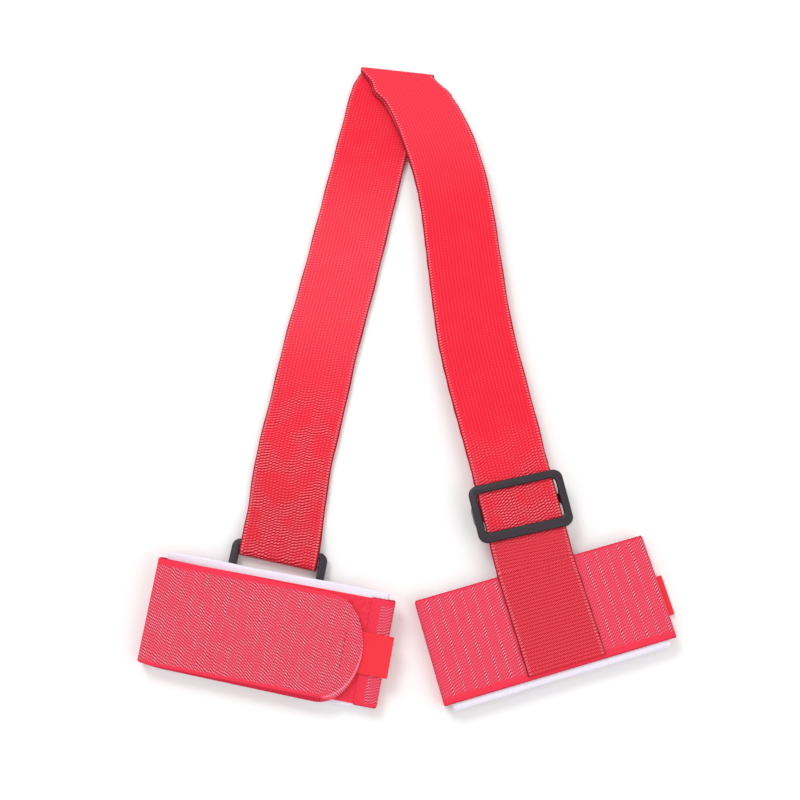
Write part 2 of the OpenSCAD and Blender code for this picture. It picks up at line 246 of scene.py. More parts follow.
def makeEdgeMasks():
    # where a strap's selvedge lies, from the distance to its middle line; the rim mask is painted shade along the very
    # edge
    tree, given, out = newGroup(
        "edgeMasks",
        [("Place", "NodeSocketVector", None), ("Half", "NodeSocketFloat", 19.0), ("Dash", "NodeSocketFloat", 1.7)],
        [("ShadedRim", "NodeSocketFloat"), ("Loops", "NodeSocketFloat"), ("Gaps", "NodeSocketFloat")],
    )
    u, v, rest = splitPlace(tree, given["Place"])
    inside = calc(tree, "SUBTRACT", given["Half"], calc(tree, "ABSOLUTE", u))
    row = calc(tree, "ADD", calc(tree, "DIVIDE", v, given["Dash"]), calc(tree, "MULTIPLY", inside, 0.2))
    fromMiddle = calc(tree, "ABSOLUTE", calc(tree, "SUBTRACT", calc(tree, "FRACT", row), 0.5))
    rim = calc(tree, "MULTIPLY", ramped(tree, inside, 0.3, 0.65, 1.0, 0.0), ramped(tree, fromMiddle, 0.2, 0.4, 1.0, 0.5))
    tree.links.new(rim, out["ShadedRim"])
    band = calc(tree, "MULTIPLY", ramped(tree, inside, 0.55, 0.9), ramped(tree, inside, 1.5, 2.2, 1.0, 0.0))
    tree.links.new(calc(tree, "MULTIPLY", ramped(tree, fromMiddle, 0.14, 0.30, 1.0, 0.0), band), out["Loops"])
    tree.links.new(calc(tree, "MULTIPLY", ramped(tree, fromMiddle, 0.28, 0.42), band), out["Gaps"])
    return tree


def makeFibreFuzz():
    # fine grain and slow drift of the dye
    tree, given, out = newGroup(
        "fibreFuzz",
        [("Place", "NodeSocketVector", None)],
        [("Grain", "NodeSocketFloat"), ("Drift", "NodeSocketFloat")],
    )
    tree.links.new(cloud(tree, given["Place"], 0.35, 3.0, 0.6), out["Grain"])
    tree.links.new(cloud(tree, given["Place"], 26.0, 2.0, 0.5), out["Drift"])
    return tree


dashWeave = makeDashWeave()
edgeMasks = makeEdgeMasks()
fibreFuzz = makeFibreFuzz()


def newMaterial(name, roughness, sheen=0.0, sheenRough=0.5, specular=0.5, tint=(1, 1, 1)):
    material = bpy.data.materials.new(name)
    material.use_nodes = True
    tree = material.node_tree
    shader = tree.nodes["Principled BSDF"]
    shader.inputs["Roughness"].default_value = roughness
    shader.inputs["Sheen Weight"].default_value = sheen
    shader.inputs["Sheen Roughness"].default_value = sheenRough
    shader.inputs["Sheen Tint"].default_value = (*tint, 1)
    shader.inputs["Specular IOR Level"].default_value = specular
    return material, tree, shader


def bumpTo(tree, shader, height, distance, strength=1.0):
    node = tree.nodes.new("ShaderNodeBump")
    node.inputs["Distance"].default_value = distance
    node.inputs["Strength"].default_value = strength
    tree.links.new(height, node.inputs["Height"])
    tree.links.new(node.outputs["Normal"], shader.inputs["Normal"])


def uvPlace(tree):  # the cloth's own UV map, in metres, turned into millimetres
    node = tree.nodes.new("ShaderNodeUVMap")
    node.uv_map = "clothMap"
    mapping = tree.nodes.new("ShaderNodeMapping")
    mapping.inputs["Scale"].default_value = (1000, 1000, 1000)
    tree.links.new(node.outputs["UV"], mapping.inputs["Vector"])
    return mapping.outputs["Vector"]


# the lighter pink colour is painted light, and the deeper red is painted shade that also serves the dye's slow drift;
# the rim colour is painted shade along the selvedges
webbingLook = {
    "base": (0.92, 0.024, 0.052), "paintedLight": (0.95, 0.062, 0.100), "deep": (0.76, 0.020, 0.042),
    "light": (1.0, 0.34, 0.38), "dark": (0.33, 0.0, 0.004), "rim": (0.17, 0.0, 0.008),
    "ribLight": (1.0, 0.17, 0.215), "ribDark": (0.34, 0.0, 0.004),
    "column": 1.7, "dash": 1.4, "weftPitch": 1.65, "weftDash": 1.6,
}


def turnedPlace(tree, u, v):  # the same map with its two directions exchanged
    node = tree.nodes.new("ShaderNodeCombineXYZ")
    tree.links.new(v, node.inputs[0])
    tree.links.new(u, node.inputs[1])
    return node.outputs[0]


def makeWebbingMaterial(name, shadeFrom, shadeTo, weftFrom, weftTo, paintedLightAt, paintedLightMost, dashBase, dashFrom, dashTo):
    # the numbers are distances along the strap, in mm, where the deeper red of painted shade, the cross ribs and the
    # dashes come in, and where the lighter patch of painted light is centred
    look = webbingLook
    material, tree, shader = newMaterial(name, 0.66, 0.03, 0.4, 0.08, (1, 0.5, 0.52))
    place = uvPlace(tree)
    u, v, rest = splitPlace(tree, place)
    dash = placeGroup(tree, dashWeave, Place=place, Column=look["column"], Dash=look["dash"], Lean=0.5)
    weave = placeGroup(tree, dashWeave, Place=turnedPlace(tree, u, v), Column=look["weftPitch"],
                       Dash=look["weftDash"], Lean=2.2)
    edge = placeGroup(tree, edgeMasks, Place=place, Half=19.0, Dash=1.45)
    fuzz = placeGroup(tree, fibreFuzz, Place=place)
    weft = ramped(tree, v, weftFrom, weftTo)
    plain = calc(tree, "SUBTRACT", 1.0, weft)
    # a deeper red towards the strap's end away from the fold is painted shade
    deep = ramped(tree, v, shadeFrom, shadeTo)
    # a lighter, pinker patch centred at a given distance along the strap is painted light; it is kept off the part of
    # the fold that lies on the left leg
    paintedLight = ramped(tree, calc(tree, "ABSOLUTE", calc(tree, "SUBTRACT", v, paintedLightAt)), 15, 85, paintedLightMost, 0.0)
    paintedLight = calc(tree, "MULTIPLY", paintedLight, ramped(tree, v, -6, 4))
    patch = ramped(tree, cloud(tree, place, 12), 0.38, 0.62, 0.35, 1.0)
    dashed = calc(tree, "MULTIPLY", ramped(tree, v, dashFrom, dashTo, dashBase, 1.0), patch)
    colour = blendColour(tree, paintedLight, look["base"], look["paintedLight"])
    colour = blendColour(tree, deep, colour, look["deep"])
    colour = blendColour(tree, calc(tree, "MULTIPLY", fuzz["Drift"], 0.22), colour, look["deep"])
    columns = calc(tree, "MULTIPLY", calc(tree, "MULTIPLY", dash["Columns"], plain), 0.34)
    colour = blendColour(tree, columns, colour, look["dark"])
    lights = calc(tree, "MULTIPLY", calc(tree, "MULTIPLY", dash["Light"], dashed), plain)
    darks = calc(tree, "MULTIPLY", calc(tree, "MULTIPLY", dash["Dark"], dashed), plain)
    colour = blendColour(tree, calc(tree, "MULTIPLY", lights, 0.55), colour, look["light"])
    colour = blendColour(tree, calc(tree, "MULTIPLY", darks, 0.90), colour, look["dark"])
    stroke = calc(tree, "ABSOLUTE", calc(tree, "SUBTRACT", weave["Phase"], 0.12))
    broken = ramped(tree, stroke, 0.16, 0.38, 1.0, 0.15)
    ribGaps = calc(tree, "MULTIPLY", calc(tree, "MULTIPLY", weave["Columns"], broken), weft)
    ribLights = calc(tree, "MULTIPLY", weave["Light"], weft)
    ribDarks = calc(tree, "MULTIPLY", weave["Dark"], weft)
    colour = blendColour(tree, calc(tree, "MULTIPLY", ribLights, 0.70), colour, look["ribLight"])
    colour = blendColour(tree, calc(tree, "MULTIPLY", ribDarks, 0.55), colour, look["ribDark"])
    colour = blendColour(tree, calc(tree, "MULTIPLY", ribGaps, 0.90), colour, look["ribDark"])
    colour = blendColour(tree, calc(tree, "MULTIPLY", edge["Loops"], 0.42), colour, (1.0, 0.36, 0.42))
    colour = blendColour(tree, calc(tree, "MULTIPLY", edge["Gaps"], 0.45), colour, look["dark"])
    # the selvedge's rim is darkened: painted shade
    colour = blendColour(tree, calc(tree, "MULTIPLY", edge["ShadedRim"], 0.85), colour, look["rim"])
    grainy = calc(tree, "ADD", 0.94, calc(tree, "MULTIPLY", fuzz["Grain"], 0.12))
    toned = tree.nodes.new("ShaderNodeVectorMath")
    toned.operation = "SCALE"
    tree.links.new(colour, toned.inputs[0])
    tree.links.new(grainy, toned.inputs["Scale"])
    tree.links.new(toned.outputs[0], shader.inputs["Base Color"])
    lengthwise = calc(tree, "MULTIPLY", dash["Height"], calc(tree, "ADD", 0.3, calc(tree, "MULTIPLY", dashed, 0.5)))
    lengthwise = calc(tree, "SUBTRACT", lengthwise, calc(tree, "MULTIPLY", dash["Columns"], 0.5))
    crosswise = calc(tree, "SUBTRACT", weave["Height"], calc(tree, "MULTIPLY", weave["Columns"], 0.4))
    height = calc(tree, "ADD", calc(tree, "MULTIPLY", lengthwise, plain), calc(tree, "MULTIPLY", crosswise, weft))
    height = calc(tree, "ADD", height, calc(tree, "MULTIPLY", fuzz["Grain"], 0.25))
    height = calc(tree, "ADD", height, calc(tree, "MULTIPLY", edge["Loops"], 0.7))
    bumpTo(tree, shader, height, 0.00016, 0.75)
    tree.links.new(ramped(tree, height, 0.0, 1.4, 0.74, 0.5), shader.inputs["Roughness"])
    return material


# the rim colour is painted shade along the tape's selvedges
tapeLook = {
    "base": (0.80, 0.055, 0.105), "light": (1.0, 0.50, 0.60), "dark": (0.17, 0.001, 0.008),
    "smooth": (0.86, 0.040, 0.080), "rim": (0.28, 0.002, 0.014), "column": 1.4, "dash": 1.35,
}


def makeTapeMaterial(name, low, high, weak, hemFrom=900, tipFrom=None, tipLong=18.0):
    # low and high are how far the plain selvedges reach in, weak is the lesser columns' share of the strongest,
    # hemFrom is where the plain end of the tape begins, and tipFrom where the rounded tip does
    look = tapeLook
    material, tree, shader = newMaterial(name, 0.7, 0.05, 0.4, 0.10, (1, 0.6, 0.65))
    place = uvPlace(tree)
    u, v, rest = splitPlace(tree, place)  # u across the tape, v along it
    dash = placeGroup(tree, dashWeave, Place=turnedPlace(tree, u, v), Column=look["column"], Dash=look["dash"],
                      Lean=0.8)
    fuzz = placeGroup(tree, fibreFuzz, Place=place)
    edge = placeGroup(tree, edgeMasks, Place=place, Half=25.0, Dash=1.3)
    strong = calc(tree, "ADD", weak, calc(tree, "MULTIPLY", dash["Fourth"], 1 - weak))
    inLow = ramped(tree, u, -25 + low, -25 + low + 1.6)
    inHigh = ramped(tree, u, 25 - high - 1.6, 25 - high, 1.0, 0.0)
    area = calc(tree, "MULTIPLY", calc(tree, "MULTIPLY", inLow, inHigh), ramped(tree, v, hemFrom, hemFrom + 2, 1.0, 0.0))
    patch = ramped(tree, cloud(tree, place, 9), 0.36, 0.60, 0.55, 1.0)
    patch = calc(tree, "MULTIPLY", patch, ramped(tree, cloud(tree, place, 2.6), 0.32, 0.62, 0.55, 1.0))
    field = calc(tree, "MULTIPLY", calc(tree, "MULTIPLY", area, strong), patch)
    colour = blendColour(tree, area, look["smooth"], look["base"])
    colour = blendColour(tree, calc(tree, "MULTIPLY", fuzz["Drift"], 0.25), colour, look["smooth"])
    colour = blendColour(tree, calc(tree, "MULTIPLY", calc(tree, "MULTIPLY", dash["Light"], field), 0.80), colour, look["light"])
    colour = blendColour(tree, calc(tree, "MULTIPLY", calc(tree, "MULTIPLY", dash["Dark"], field), 1.0), colour, look["dark"])
    # painted shade along the tape's selvedge rim
    colour = blendColour(tree, calc(tree, "MULTIPLY", edge["ShadedRim"], 0.6), colour, look["rim"])
    if tipFrom is not None:  # a light overcast thread follows the rounded tip
        ahead = calc(tree, "DIVIDE", calc(tree, "MAXIMUM", calc(tree, "SUBTRACT", v, tipFrom), 0.0), tipLong)
        aside = calc(tree, "DIVIDE", u, 25.0)
        reach = calc(tree, "SQRT", calc(tree, "ADD", calc(tree, "POWER", ahead, 2.0), calc(tree, "POWER", aside, 2.0)))
        thread = calc(tree, "MULTIPLY", ramped(tree, reach, 0.955, 0.970), ramped(tree, reach, 0.980, 0.995, 1.0, 0.2))
        thread = calc(tree, "MULTIPLY", thread, ramped(tree, v, tipFrom + 2, tipFrom + 5))
        twist = ramped(tree, calc(tree, "SINE", calc(tree, "MULTIPLY", calc(tree, "ADD", u, v), 4.2)), -0.6, 0.4, 0.35, 1.0)
        colour = blendColour(tree, calc(tree, "MULTIPLY", calc(tree, "MULTIPLY", thread, twist), 0.6), colour, look["light"])
    tree.links.new(colour, shader.inputs["Base Color"])
    height = calc(tree, "MULTIPLY", dash["Height"], calc(tree, "MULTIPLY", field, 0.8))
    height = calc(tree, "ADD", height, calc(tree, "MULTIPLY", fuzz["Grain"], 0.3))
    bumpTo(tree, shader, height, 0.00014, 0.7)
    tree.links.new(ramped(tree, height, 0.0, 1.2, 0.78, 0.58), shader.inputs["Roughness"])
    return material


def makeRibbonMaterial(name, base, dark):
    material, tree, shader = newMaterial(name, 0.5, 0.1, 0.4, 0.35, (1, 0.6, 0.6))
    place = uvPlace(tree)
    u, v, rest = splitPlace(tree, place)
    fuzz = placeGroup(tree, fibreFuzz, Place=place)
    row = calc(tree, "FRACT", calc(tree, "DIVIDE", v, 0.55))
    rib = ramped(tree, calc(tree, "ABSOLUTE", calc(tree, "SUBTRACT", row, 0.5)), 0.1, 0.5, 1.0, 0.0)
    colour = blendColour(tree, calc(tree, "MULTIPLY", calc(tree, "SUBTRACT", 1.0, rib), 0.30), base, dark)
    colour = blendColour(tree, calc(tree, "MULTIPLY", fuzz["Drift"], 0.2), colour, dark)
    tree.links.new(colour, shader.inputs["Base Color"])
    height = calc(tree, "ADD", rib, calc(tree, "MULTIPLY", fuzz["Grain"], 0.3))
    bumpTo(tree, shader, height, 0.00006, 0.8)
    tree.links.new(ramped(tree, height, 0.0, 1.3, 0.6, 0.42), shader.inputs["Roughness"])
    return material


def objectPlace(tree):  # the object's own place, in millimetres
    node = tree.nodes.new("ShaderNodeTexCoord")
    mapping = tree.nodes.new("ShaderNodeMapping")
    mapping.inputs["Scale"].default_value = (1000, 1000, 1000)
    tree.links.new(node.outputs["Object"], mapping.inputs["Vector"])
    return mapping.outputs["Vector"]


def makePlasticMaterial():
    material, tree, shader = newMaterial("mouldedPlastic", 0.4, 0.0, 0.5, 0.42)
    shader.inputs["Coat Weight"].default_value = 0.12
    shader.inputs["Coat Roughness"].default_value = 0.3
    place = objectPlace(tree)
    fuzz = placeGroup(tree, fibreFuzz, Place=place)
    # sides and rounded edges, which face away from the light above, are darkened to near black: painted shade
    facing = tree.nodes.new("ShaderNodeTexCoord")
    side, along, upward = splitPlace(tree, facing.outputs["Normal"])
    edge = ramped(tree, calc(tree, "ABSOLUTE", upward), 0.82, 0.99, 1.0, 0.0)
    scuff = ramped(tree, cloud(tree, place, 1.2, 4.0, 0.7), 0.55, 0.75)
    colour = blendColour(tree, fuzz["Drift"], (0.018, 0.011, 0.018), (0.026, 0.016, 0.026))
    colour = blendColour(tree, calc(tree, "MULTIPLY", edge, 0.9), colour, (0.003, 0.002, 0.003))
    colour = blendColour(tree, calc(tree, "MULTIPLY", scuff, 0.12), colour, (0.09, 0.07, 0.09))
    tree.links.new(colour, shader.inputs["Base Color"])
    rough = calc(tree, "ADD", 0.34, calc(tree, "MULTIPLY", fuzz["Grain"], 0.14))
    tree.links.new(calc(tree, "ADD", rough, calc(tree, "MULTIPLY", scuff, 0.10)), shader.inputs["Roughness"])
    bumpTo(tree, shader, fuzz["Grain"], 0.00004, 0.5)
    return material


def makeFoamMaterial():
    material, tree, shader = newMaterial("whiteFoam", 0.85, 0.1, 0.6, 0.2)
    place = objectPlace(tree)
    pores = tree.nodes.new("ShaderNodeTexVoronoi")
    pores.inputs["Scale"].default_value = 1.6
    tree.links.new(place, pores.inputs["Vector"])
    fuzz = placeGroup(tree, fibreFuzz, Place=place)
    pore = ramped(tree, pores.outputs["Distance"], 0.05, 0.45)
    colour = blendColour(tree, pore, (0.70, 0.64, 0.76), (0.86, 0.81, 0.92))
    colour = blendColour(tree, calc(tree, "MULTIPLY", fuzz["Drift"], 0.3), colour, (0.90, 0.86, 0.94))
    tree.links.new(colour, shader.inputs["Base Color"])
    height = calc(tree, "ADD", calc(tree, "MULTIPLY", pore, 0.7), calc(tree, "MULTIPLY", fuzz["Grain"], 0.5))
    bumpTo(tree, shader, height, 0.00018, 0.6)
    return material


def makeLiningMaterial():
    material, tree, shader = newMaterial("loopPile", 0.95, 0.15, 0.5, 0.1, (1, 0.5, 0.55))
    place = objectPlace(tree)
    coarse = cloud(tree, place, 1.3, 4.0, 0.7)
    fine = cloud(tree, place, 0.3, 3.0, 0.7)
    colour = blendColour(tree, ramped(tree, coarse, 0.35, 0.65), (0.80, 0.028, 0.058), (0.90, 0.048, 0.085))
    colour = blendColour(tree, calc(tree, "MULTIPLY", ramped(tree, fine, 0.5, 0.75), 0.3), colour, (0.95, 0.14, 0.18))
    tree.links.new(colour, shader.inputs["Base Color"])
    bumpTo(tree, shader, calc(tree, "ADD", coarse, fine), 0.00018, 0.35)
    return material


def makeHookMaterial():
    material, tree, shader = newMaterial("hookNylon", 0.45, 0.0, 0.5, 0.4)
    place = objectPlace(tree)
    fuzz = placeGroup(tree, fibreFuzz, Place=place)
    colour = blendColour(tree, fuzz["Drift"], (0.80, 0.045, 0.075), (0.92, 0.075, 0.10))
    colour = blendColour(tree, calc(tree, "MULTIPLY", fuzz["Grain"], 0.3), colour, (0.60, 0.02, 0.04))
    tree.links.new(colour, shader.inputs["Base Color"])
    tree.links.new(calc(tree, "ADD", 0.38, calc(tree, "MULTIPLY", fuzz["Grain"], 0.2)), shader.inputs["Roughness"])
    return material


def makeThreadMaterial(name, dark, light):
    material, tree, shader = newMaterial(name, 0.55, 0.05, 0.4, 0.25, (1, 0.5, 0.5))
    place = objectPlace(tree)
    u, v, w = splitPlace(tree, place)
    twist = calc(tree, "SINE", calc(tree, "MULTIPLY", calc(tree, "ADD", calc(tree, "ADD", u, v), w), 14.0))
    twist = ramped(tree, twist, -1.0, 1.0)
    colour = blendColour(tree, twist, dark, light)
    tree.links.new(colour, shader.inputs["Base Color"])
    bumpTo(tree, shader, twist, 0.00005, 0.6)
    return material


leftWebbing = makeWebbingMaterial("webbingLeftLeg", 205, 262, 900, 901, 120, 0.9, 0.22, 165, 215)
rightWebbing = makeWebbingMaterial("webbingRightLeg", 215, 285, 262, 278, 20, 0.55, 0.12, 205, 256)
tapeLeft = makeTapeMaterial("cuffTapeLeft", 1.2, 2.6, 0.55, hemFrom=67.5)
tapeRight = makeTapeMaterial("cuffTapeRight", 0.4, 2.8, 0.28)
flapMaterial = {"left": makeTapeMaterial("flapTapeLeft", 1.2, 2.6, 0.65, tipFrom=27.2),
                "right": makeTapeMaterial("flapTapeRight", 0.4, 2.8, 0.4, tipFrom=27.2)}
ribbonMaterial = makeRibbonMaterial("ribbon", (0.95, 0.024, 0.046), (0.68, 0.008, 0.02))
keeperMaterial = makeRibbonMaterial("keeperRibbon", (0.72, 0.02, 0.045), (0.45, 0.008, 0.02))
plasticMaterial = makePlasticMaterial()
foamMaterial = makeFoamMaterial()
liningMaterial = makeLiningMaterial()
hookMaterial = makeHookMaterial()
darkThread = makeThreadMaterial("threadDark", (0.26, 0.006, 0.02), (0.50, 0.018, 0.04))
redThread = makeThreadMaterial("threadRed", (0.72, 0.020, 0.045), (0.92, 0.06, 0.095))
print("materials made")


# ---- cloth strips ----
# A station is (middle, across, up, v): across reaches from the middle line to the edge, up is the face's
# normal, and v is the distance along the cloth in mm. All points are in metres.
def clothStrip(name, stations, halfFlat, thick, columns=40, rim=0.5, scallop=0.0, pitch=1.7, outline=None,
               ribs=0.0, ribPitch=2.1):
    mesh = bpy.data.meshes.new(name)
    build = bmesh.new()
    uvLayer = build.loops.layers.uv.new("clothMap")
    shares = []
    for k in range(columns + 1):  # columns crowd together at both edges, where the rim turns round
        plain = 2 * k / columns - 1
        shares.append(0.72 * plain + 0.28 * math.sin(plain * math.pi / 2))
    top, bottom, flats = [], [], []
    for middle, across, up, v in stations:
        rowTop, rowBottom, rowFlat = [], [], []
        low, high = outline(v) if outline else (-1.0, 1.0)
        for share in shares:
            t = low + (high - low) * (share + 1) / 2
            flat = t * halfFlat
            fromEdge = min(share + 1, 1 - share) * halfFlat * (high - low) / 2
            rise = thick / 2
            if fromEdge < rim:
                rise *= 0.35 + 0.65 * math.sqrt(max(0, 1 - (1 - fromEdge / rim) ** 2))
            rise += ribs * math.cos(2 * math.pi * flat / ribPitch) * min(1, fromEdge / 2)
            out = 1.0
            if scallop and abs(share) > 0.999:
                out += scallop * math.cos(2 * math.pi * v / pitch) / halfFlat
            spot = middle + across * (t * out)
            rowTop.append(build.verts.new(spot + up * rise * 0.001))
            rowBottom.append(build.verts.new(spot - up * rise * 0.001))
            rowFlat.append((flat * 0.001, v * 0.001))
        top.append(rowTop)
        bottom.append(rowBottom)
        flats.append(rowFlat)

    def face(corners, places):
        made = build.faces.new(corners)
        made.smooth = True
        for loop, place in zip(made.loops, places):
            loop[uvLayer].uv = place

    last = len(stations) - 1
    for i in range(last):
        for k in range(columns):
            a, b, c, d = (i, k), (i, k + 1), (i + 1, k + 1), (i + 1, k)
            places = [flats[r][s] for r, s in (a, b, c, d)]
            face([top[r][s] for r, s in (a, b, c, d)], places)
            face([bottom[r][s] for r, s in (d, c, b, a)], places[::-1])
        for k in (0, columns):
            corners = [top[i][k], top[i + 1][k], bottom[i + 1][k], bottom[i][k]]
            places = [flats[i][k], flats[i + 1][k], flats[i + 1][k], flats[i][k]]
            if k:
                corners.reverse()
                places.reverse()
            face(corners, places)
    for i in (0, last):
        for k in range(columns):
            corners = [top[i][k + 1], top[i][k], bottom[i][k], bottom[i][k + 1]]
            places = [flats[i][k + 1], flats[i][k], flats[i][k], flats[i][k + 1]]
            if i:
                corners.reverse()
                places.reverse()
            face(corners, places)
    build.normal_update()
    build.to_mesh(mesh)
    build.free()
    return collect(name, mesh)


def smoothLine(points, step, passes=3):
    # evenly spaced points on a polyline, its corners softened
    spots = [Vector(points[0])]
    for a, b in zip(points, points[1:]):
        a, b = Vector(a), Vector(b)
        count = max(1, round((b - a).length / step))
        spots += [a + (b - a) * (k / count) for k in range(1, count + 1)]
    for turn in range(passes):
        spots = [spots[0]] + [(spots[k - 1] + spots[k] * 2 + spots[k + 1]) / 4 for k in range(1, len(spots) - 1)] + [spots[-1]]
    return spots


def arc(middle, radius, start, end, count):  # points of a circle in a profile, angles in degrees
    angles = [math.radians(start + (end - start) * k / count) for k in range(count + 1)]
    return [(middle[0] + radius * math.cos(a), middle[1] + radius * math.sin(a)) for a in angles]


def profileStations(matrix, line, half, way, vStart=0.0, vSign=1, shiftX=0.0, sway=None):
    # a strip whose side profile is line; way is Y or X, the axis that the profile runs along
    made, v = [], vStart
    for k, spot in enumerate(line):
        before, after = line[max(0, k - 1)], line[min(len(line) - 1, k + 1)]
        run = (after - before).normalized()
        if k:
            v += vSign * (spot - line[k - 1]).length
        extra = sway(spot.x) if sway else 0.0
        if way == "Y":
            middle = matrix @ Vector((shiftX + extra, spot.x, spot.y))
            across = matrix.to_3x3() @ Vector((half, 0, 0))
            up = (matrix.to_3x3() @ Vector((0, -run.y, run.x))).normalized()
        else:
            middle = matrix @ Vector((spot.x, shiftX + extra, spot.y))
            across = matrix.to_3x3() @ Vector((0, half, 0))
            up = (matrix.to_3x3() @ Vector((-run.y, 0, run.x))).normalized()
        made.append((middle, across, up, v))
    return made


def faceOut(item):  # a strip whose path runs the other way has its faces turned
    build = bmesh.new()
    build.from_mesh(item.data)
    bmesh.ops.recalc_face_normals(build, faces=build.faces)
    build.to_mesh(item.data)
    build.free()
    deselect()
    item.select_set(True)
    bpy.context.view_layer.objects.active = item
    bpy.ops.object.shade_smooth_by_angle(angle=math.radians(50))
    item.select_set(False)


# ---- left leg: down from the fold, round the ring's top bar and back ----
leftLeg = {"half": 19.0, "cut": -20.0, "turnY": -268.0, "barZ": 2.95, "turnR": 2.35, "rampTop": -247.0, "step": 1.6}


def leftSway(y):  # the strap lies in a shallow bow
    share = max(0.0, min(1.0, (y + 274) / 62))
    rise = share * share * (3 - 2 * share)
    return -rise * (4.7 + 0.7 * math.exp(-((y + 158) / 24) ** 2))


line = smoothLine(
    [(leftLeg["cut"], outerPly["leftMid"]), (leftLeg["turnY"], outerPly["leftMid"])], leftLeg["step"], 0)
line += [Vector(p) for p in arc((leftLeg["turnY"], leftLeg["barZ"]), leftLeg["turnR"], 270, 90, 14)[1:]]
line += smoothLine(
    [(leftLeg["turnY"], 5.3), (-259.5, 5.3), (leftLeg["rampTop"], innerPly["leftMid"]),
     (leftLeg["cut"], innerPly["leftMid"])], leftLeg["step"], 6)[1:]
stations = profileStations(leftFrame, line, leftLeg["half"], "Y", vStart=-leftLeg["cut"], sway=leftSway)
turnAt = len(line) // 2
webbingLeft = clothStrip("webbingLeft", stations, 19.0, 1.2, columns=44, scallop=0.12)
# the plies share one map: distance from the fold, so that both look alike
half = (-leftLeg["turnY"] + leftLeg["turnR"] * math.pi / 2) * 0.001
for loop, uv in zip(webbingLeft.data.loops, webbingLeft.data.uv_layers["clothMap"].data):
    if uv.uv.y > half:
        uv.uv.y = 2 * half - uv.uv.y
faceOut(webbingLeft)
webbingLeft.data.materials.append(leftWebbing)
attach(webbingLeft, "left_leg")
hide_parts("webbing_left_leg")
print("left leg made")

# ---- right leg: its two edges as smooth curves, from the fold to the cuff ----
rightLeg = {"half": 19.0, "blendIn": 24.0, "straight": 118.0, "bow": 0.8}
leftFlat = leftFrame.inverted()


def design(x, y):  # a place on the floor, in mm from the fold's middle, as a point in metres
    return Vector((jointAt("shoulder_fold").x + x * 0.001, jointAt("shoulder_fold").y + y * 0.001, 0))


jointFlat = Vector(((cuffJoint.x - jointAt("shoulder_fold").x) * 1000, (cuffJoint.y - jointAt("shoulder_fold").y) * 1000))
upFlat = Vector((upStrap.x, upStrap.y)).normalized()
curveEnd = jointFlat + upFlat * rightLeg["straight"]
curve = [Vector((0, 0)), 43 * Vector((math.sin(math.radians(40)), -math.cos(math.radians(40)))),
         curveEnd + 43 * Vector((-math.sin(math.radians(10.5)), math.cos(math.radians(10.5)))), curveEnd]
creaseTurn = math.atan2(creaseAxis.y, creaseAxis.x)
strapTurn = math.atan2(-upFlat.x, upFlat.y)


def rightMiddle(t):
    return ((1 - t) ** 3 * curve[0] + 3 * t * (1 - t) ** 2 * curve[1] + 3 * t * t * (1 - t) * curve[2]
            + t ** 3 * curve[3])


def slopeRise(x, y):  # how high the sloped leg's base lies at a place, in mm
    away = Vector((x, y)).dot(Vector((creaseAxis.y, -creaseAxis.x)))
    lean = math.atan2(-slopeUp.dot(Vector((creaseAxis.y, -creaseAxis.x, 0))), slopeUp.z)
    return away * math.tan(lean)


def rightStations(mid, start, end, step, edgeShift=None, lift=None):
    # stations along the leg, start and end are distances from the crease along the middle line
    spots, lengths = [], [0.0]
    count = 400
    for k in range(count + 1):
        spots.append(rightMiddle(k / count))
        if k:
            lengths.append(lengths[-1] + (spots[-1] - spots[-2]).length)
    made = []
    steps = max(1, round((end - start) / step))
    for i in range(steps + 1):
        s = start + (end - start) * i / steps
        if s < lengths[-1]:
            k = next(n for n in range(count) if lengths[n + 1] >= s)
            share = (s - lengths[k]) / (lengths[k + 1] - lengths[k])
            t = (k + share) / count
            place = rightMiddle(t)
            angle = creaseTurn + (strapTurn - creaseTurn) * (1 - (1 - t) ** 2)
        else:
            place = curveEnd - upFlat * (s - lengths[-1])
            angle = strapTurn
        near, far = edgeShift(s) if edgeShift else (0.0, 0.0)
        side = Vector((math.cos(angle), math.sin(angle)))
        half = rightLeg["half"] * (1.0046 if s < 2 else 1)
        a = place - side * (half - near)
        b = place + side * (half + far)
        middle, across = (a + b) / 2, (b - a) / 2
        height = mid + (lift(s) if lift else 0.0)
        base = slopeRise(middle.x, middle.y)
        spot = design(middle.x, middle.y) + Vector((0, 0, (base + height) * 0.001))
        made.append((spot, Vector((across.x, across.y, 0)) * 0.001, slopeUp, s))
    return made, lengths[-1]


curveLength = rightStations(0, 0, 1, 1)[1]
legLength = curveLength + rightLeg["straight"]
shape = {"lens": 0.9, "corner": 1.8}


def bump(s, at, width):  # a smooth hill, one high
    return math.exp(-((s - at) / width) ** 2)


def outerEdges(s):  # how far the near and the far edge stray from the smooth curve
    near = -1.2 * bump(s, 15, 7) - 1.5 * bump(s, 14, 4) + 0.5 * bump(s, 20, 4) + 0.5 * bump(s, 34, 12)
    near += 2.3 * bump(s, 70, 35) - 1.3 * bump(s, 175, 35) - shape["corner"] * bump(s, 0, 7)
    far = 1.9 * bump(s, 11.5, 5) - 1.5 * bump(s, 9, 9) + 1.9 * bump(s, 60, 55) - 0.3 * bump(s, 180, 30)
    far -= 0.4 * bump(s, 228, 16)
    return near, far


def innerEdges(s):
    near, far = outerEdges(s)
    return near - 0.9 * bump(s, 22, 26), far - 0.6


def outerLift(s):
    return shape["lens"] * bump(s, 22, 9)


